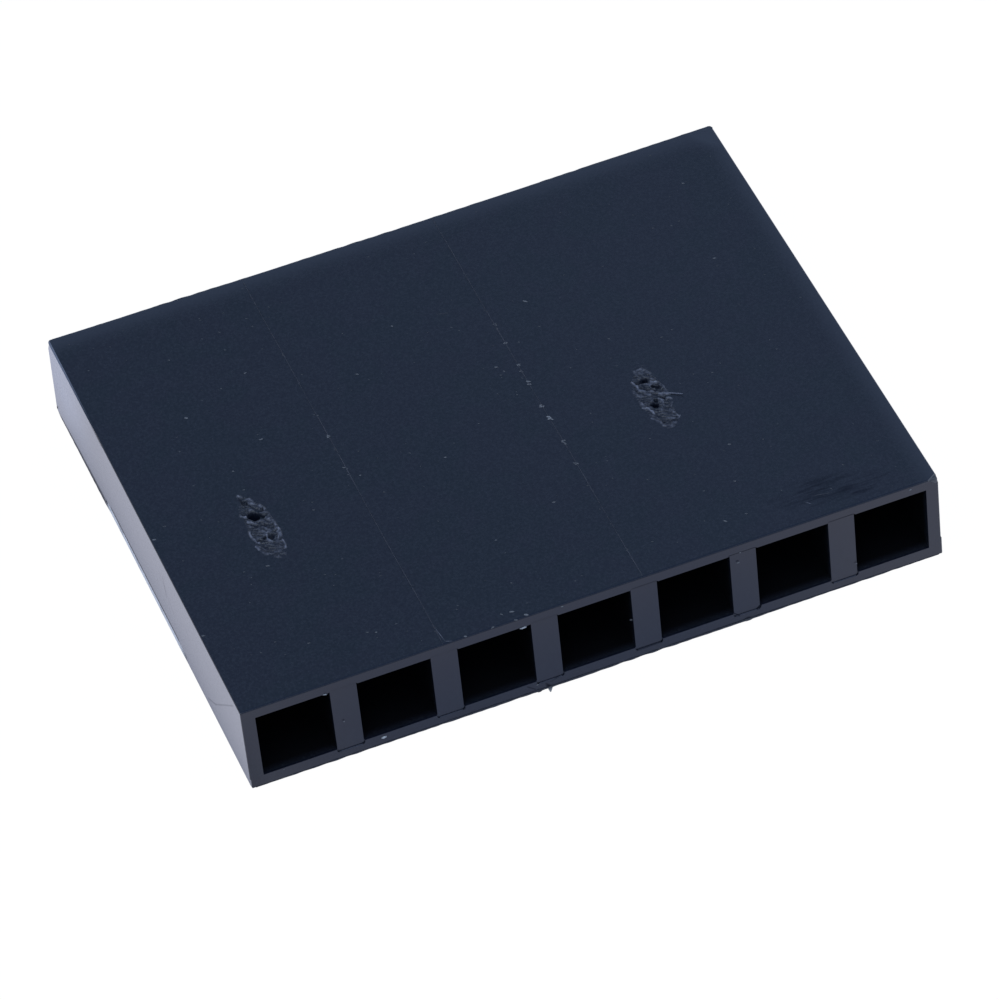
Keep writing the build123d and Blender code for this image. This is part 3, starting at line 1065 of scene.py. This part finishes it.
def dust_on_top(material):
    """The clearer specks of dust on the top, and fainter ones strewn at random."""
    chance = random.Random(SEED)
    bm, tone = toned_mesh()
    for x, y, size in DUST_SPOTS:
        speck(bm, tone, (x * MM, y * MM, TOP_Z), size * SPOT_SIZE, SPOT_TONE * size, chance)
    for _ in range(STRAY_DUST):
        x = chance.uniform(low.x, high.x) * STRAY_REACH
        y = chance.uniform(low.y, high.y) * STRAY_REACH
        size = chance.uniform(*STRAY_SIZES)
        speck(bm, tone, (x, y, TOP_Z), size, STRAY_TONE * size, chance)
    return piece("dust", bm, material)


def crumbs_on_lines(material):
    """Clusters of crumbs that cling to the witness lines."""
    chance = random.Random(SEED + 2)
    bm, tone = toned_mesh()
    for line_x, crumbs in ((LEFT_LINE_X, LEFT_CRUMBS), (RIGHT_LINE_X, RIGHT_CRUMBS)):
        for y, size in crumbs:
            for _ in range(round(CRUMBS_TO_SIZE * size)):
                x = line_x + chance.gauss(0, CRUMB_SPREAD_X)
                place = x * MM, (y + chance.gauss(0, CRUMB_SPREAD_Y)) * MM, TOP_Z
                crumb_size = chance.uniform(*CRUMB_SIZES) * size ** 0.5
                speck(bm, tone, place, crumb_size, CRUMB_TONE * size, chance)
    return piece("crumbs_on_lines", bm, material)


def dust_on_wire_face(material):
    """Specks on the wire-entry end, drawn out across it."""
    chance = random.Random(SEED + 1)
    bm, tone = toned_mesh()
    for x, z, size in FACE_SPOTS:
        shade = min(FACE_TONE * size, 1.0)
        speck(bm, tone, (x * MM, WIRE_FACE_Y, z * MM), size, shade, chance, Vector((1, 0)))
    return piece("dust_on_wire_face", bm, material)


# Stage: floor, light and camera. FLOOR_SEEN is its white to the camera, FLOOR_REFLECTED its white
# in reflections, and FLOOR_SHADED what shade it has there ahead of the housing.

FLOOR_SIZE = 3.0
FLOOR_PAINT = (0.80, 0.80, 0.80, 1)
FLOOR_SEEN = (1.02, 1.02, 1.02, 1)
FLOOR_REFLECTED = (1.17, 1.20, 1.43, 1)
FLOOR_SHADED = (0.01, 0.19, 0.61, 1)
FLOOR_SHINE = 0.97
FLOOR_GAP = 0.004 * MM
BLACK = (0, 0, 0, 1)

# The floor's shade beside the left end wall: the dark line where they touch, the soft shade past
# it, and how both start and end along the wall
TOUCH_ASIDE = (0.11 * MM, 0.0)
TOUCH_Y = (2.2 * MM, 2.9 * MM)
TOUCH_SHADE = 0.22
BESIDE_ASIDE = (0.65 * MM, -0.10 * MM)
BESIDE_Y = (7.4 * MM, 6.0 * MM)
BESIDE_SHADE = 0.24

# The floor's shade ahead of the wire-entry end: how it fades further ahead, past the left end wall,
# and away from the middle of the row
AHEAD_Y = (WIRE_FACE_Y - 6.0 * MM, WIRE_FACE_Y + 1.0 * MM)
NOT_BESIDE_X = (LEFT_X - 0.3 * MM, LEFT_X + 0.3 * MM)
NOT_BESIDE_SHADE = 0.15
MIDDLE_X = -0.8 * MM
MIDDLE_REACH = (10.5 * MM, 3.0 * MM)
MIDDLE_SHADE = 0.40

# Lamps: degrees round and above the housing, metres away and across, and watts
LAMP_COLOUR = (0.80, 0.90, 1.0)
LAMPS = {
    "key": {"azimuth": -50, "elevation": 60, "distance": 0.35, "size": 0.30, "watts": 0.54},
    "fill": {"azimuth": 60, "elevation": 50, "distance": 0.40, "size": 0.30, "watts": 0.23},
}
ROOM_LOW = (0.75, 0.84, 1.0, 1)
ROOM_HIGH = (0.25, 0.36, 0.60, 1)
HORIZON = (0.05, 0.60)

# The camera, fitted to the housing's outline and cavity edges in the photo. Lens and sensor are in
# millimetres, and the angles in degrees.
CAMERA_TARGET = (-0.477 * MM, -1.864 * MM, 1.3195 * MM)
CAMERA_DISTANCE = 164.91 * MM
CAMERA_ELEVATION = 44.62
CAMERA_AZIMUTH = -16.855
CAMERA_ROLL = -6.50
CAMERA_LENS = 245.49
CAMERA_SENSOR = 36.0


def shade_beside(finish, x, y):
    """The housing's soft shadow to its left, as its end wall mirrors it: dark where it touches."""
    aside = abs(x - LEFT_X)
    touching = finish.ramp(aside, *TOUCH_ASIDE) * finish.ramp(y, *TOUCH_Y) * TOUCH_SHADE
    soft = finish.ramp(aside, *BESIDE_ASIDE) * BESIDE_SHADE
    return (soft + touching) * finish.ramp(y, *BESIDE_Y)


def shade_ahead(finish, x, y):
    """The housing's wide soft shadow ahead of its wire-entry end, as that end mirrors it."""
    ahead = finish.ramp(y, *AHEAD_Y)
    not_beside = finish.ramp(x, *NOT_BESIDE_X)
    middle = finish.ramp(abs(x - MIDDLE_X), *MIDDLE_REACH)
    return ahead * (not_beside * NOT_BESIDE_SHADE + middle * MIDDLE_SHADE)


def floor_finish():
    """White to the eye, a shaded cool white in reflections, and plain pale to the light."""
    finish = Finish(bpy.data.materials.new("floor"))
    (x, y, _), _ = finish.place()
    looked_at, mirrored, seen_through = [finish.node("ShaderNodeLightPath", output=name) for name in (
        "Is Camera Ray", "Is Glossy Ray", "Is Transmission Ray")]
    seen = looked_at.highest(mirrored).highest(seen_through)
    colour = finish.blend(mirrored, FLOOR_SEEN, FLOOR_REFLECTED)
    paint = finish.node("ShaderNodeBsdfDiffuse", None, {"Color": FLOOR_PAINT})
    white = finish.node("ShaderNodeEmission", None, {"Color": colour, "Strength": 1.0})
    surface = finish.node("ShaderNodeMixShader", None, {0: seen * FLOOR_SHINE, 1: paint, 2: white})
    black = finish.node("ShaderNodeBsdfDiffuse", None, {"Color": BLACK})
    blue = finish.node("ShaderNodeEmission", None, {"Color": FLOOR_SHADED, "Strength": 1.0})
    for shade, shaded in ((shade_beside(finish, x, y), black), (shade_ahead(finish, x, y), blue)):
        sockets = {0: shade * mirrored, 1: surface, 2: shaded}
        surface = finish.node("ShaderNodeMixShader", None, sockets)
    return finish.done(surface)


def floor():
    """A wide flat floor just below the housing."""
    bm = bmesh.new()
    bmesh.ops.create_grid(bm, x_segments=1, y_segments=1, size=FLOOR_SIZE / 2)
    bmesh.ops.translate(bm, vec=(0, 0, -FLOOR_GAP), verts=bm.verts)
    mesh = bpy.data.meshes.new("floor")
    bm.to_mesh(mesh)
    bm.free()
    mesh.materials.append(floor_finish())
    thing = bpy.data.objects.new("floor", mesh)
    bpy.context.scene.collection.objects.link(thing)


def camera():
    """A long lens, looking down on the wire-entry end and the left end wall."""
    data = bpy.data.cameras.new("camera")
    data.lens = CAMERA_LENS
    data.sensor_width = CAMERA_SENSOR
    data.clip_start = 0.01
    data.clip_end = 10.0
    thing = bpy.data.objects.new("camera", data)
    bpy.context.scene.collection.objects.link(thing)
    aim = (Matrix.Rotation(math.radians(CAMERA_AZIMUTH), 4, "Z")
           @ Matrix.Rotation(math.radians(90 - CAMERA_ELEVATION), 4, "X")
           @ Matrix.Rotation(math.radians(CAMERA_ROLL), 4, "Z"))
    back = Matrix.Translation((0, 0, CAMERA_DISTANCE))
    thing.matrix_world = Matrix.Translation(CAMERA_TARGET) @ aim @ back
    bpy.context.scene.camera = thing


def soft_lamp(name, azimuth, elevation, distance, size, watts):
    """A square lamp that faces the housing."""
    data = bpy.data.lights.new(name, "AREA")
    data.shape = "SQUARE"
    data.size = size
    data.energy = watts
    data.color = LAMP_COLOUR
    thing = bpy.data.objects.new(name, data)
    bpy.context.scene.collection.objects.link(thing)
    thing.matrix_world = (Matrix.Rotation(math.radians(azimuth), 4, "Z")
                          @ Matrix.Rotation(math.radians(90 - elevation), 4, "X")
                          @ Matrix.Translation((0, 0, distance)))


def room_light():
    """A dim cool room above a pale horizon."""
    world = bpy.data.worlds.new("room")
    bpy.context.scene.world = world
    finish = Finish(world)
    direction = finish.node("ShaderNodeTexCoord", output="Generated")
    up = finish.node("ShaderNodeSeparateXYZ", None, {0: direction}, output="Z")
    colour = finish.blend(finish.ramp(up, *HORIZON), ROOM_LOW, ROOM_HIGH)
    light = finish.node("ShaderNodeBackground", None, {"Color": colour, "Strength": 1.0})
    finish.node("ShaderNodeOutputWorld", None, {"Surface": light})


def main():
    """Makes the finishes, the pieces and the stage."""
    plastic = moulded_plastic()
    torn = broken_plastic("torn_plastic", STRESSED_AND_HIGHLIGHT_PALE)
    # Its tone also paints reflection, highlight and shade
    rubbed_and_painted = broken_plastic("rubbed_and_painted_plastic", PALE_AND_HIGHLIGHT)
    crumbs = dust()
    for slot in frame["nodes"]["housing"].material_slots:
        slot.material = plastic
    gate_mark("gate_mark_left", LEFT_MARK, torn)
    gate_mark("gate_mark_right", RIGHT_MARK, torn)
    witness_line("witness_line_left", LEFT_LINE_X, 1.0, torn)
    witness_line("witness_line_right", RIGHT_LINE_X, 2.0, torn)
    crumbs_on_lines(crumbs)
    edge_flash("flash_below_mouths", bow=mouths_bow, material=torn, **MOUTHS_FLASH)
    edge_flash("flash_on_mating_edge", bow=mating_bow, material=torn, **MATING_FLASH)
    for number, (start, end, strength) in enumerate(SCUFFS):
        scuff(f"scuff_{number}", start, end, strength, torn)
    loose_thread(torn)
    wall_skin("wall_strip", STRIP_CELLS, STRIP_Y, STRIP_Z, LOWER_WALL_X, strip_point, rubbed_and_painted)
    wall_skin("leaning_wall", LEAN_CELLS, LEAN_Y, LEAN_Z, LEFT_X / MM, leaning_point, plastic)
    mating_rim(plastic)
    burrs(rubbed_and_painted)
    worn_corner(rubbed_and_painted)
    dust_on_top(crumbs)
    dust_on_wire_face(crumbs)
    floor()
    camera()
    for name, settings in LAMPS.items():
        soft_lamp(name, **settings)
    room_light()
    bpy.context.scene.view_settings.view_transform = "Standard"


main()
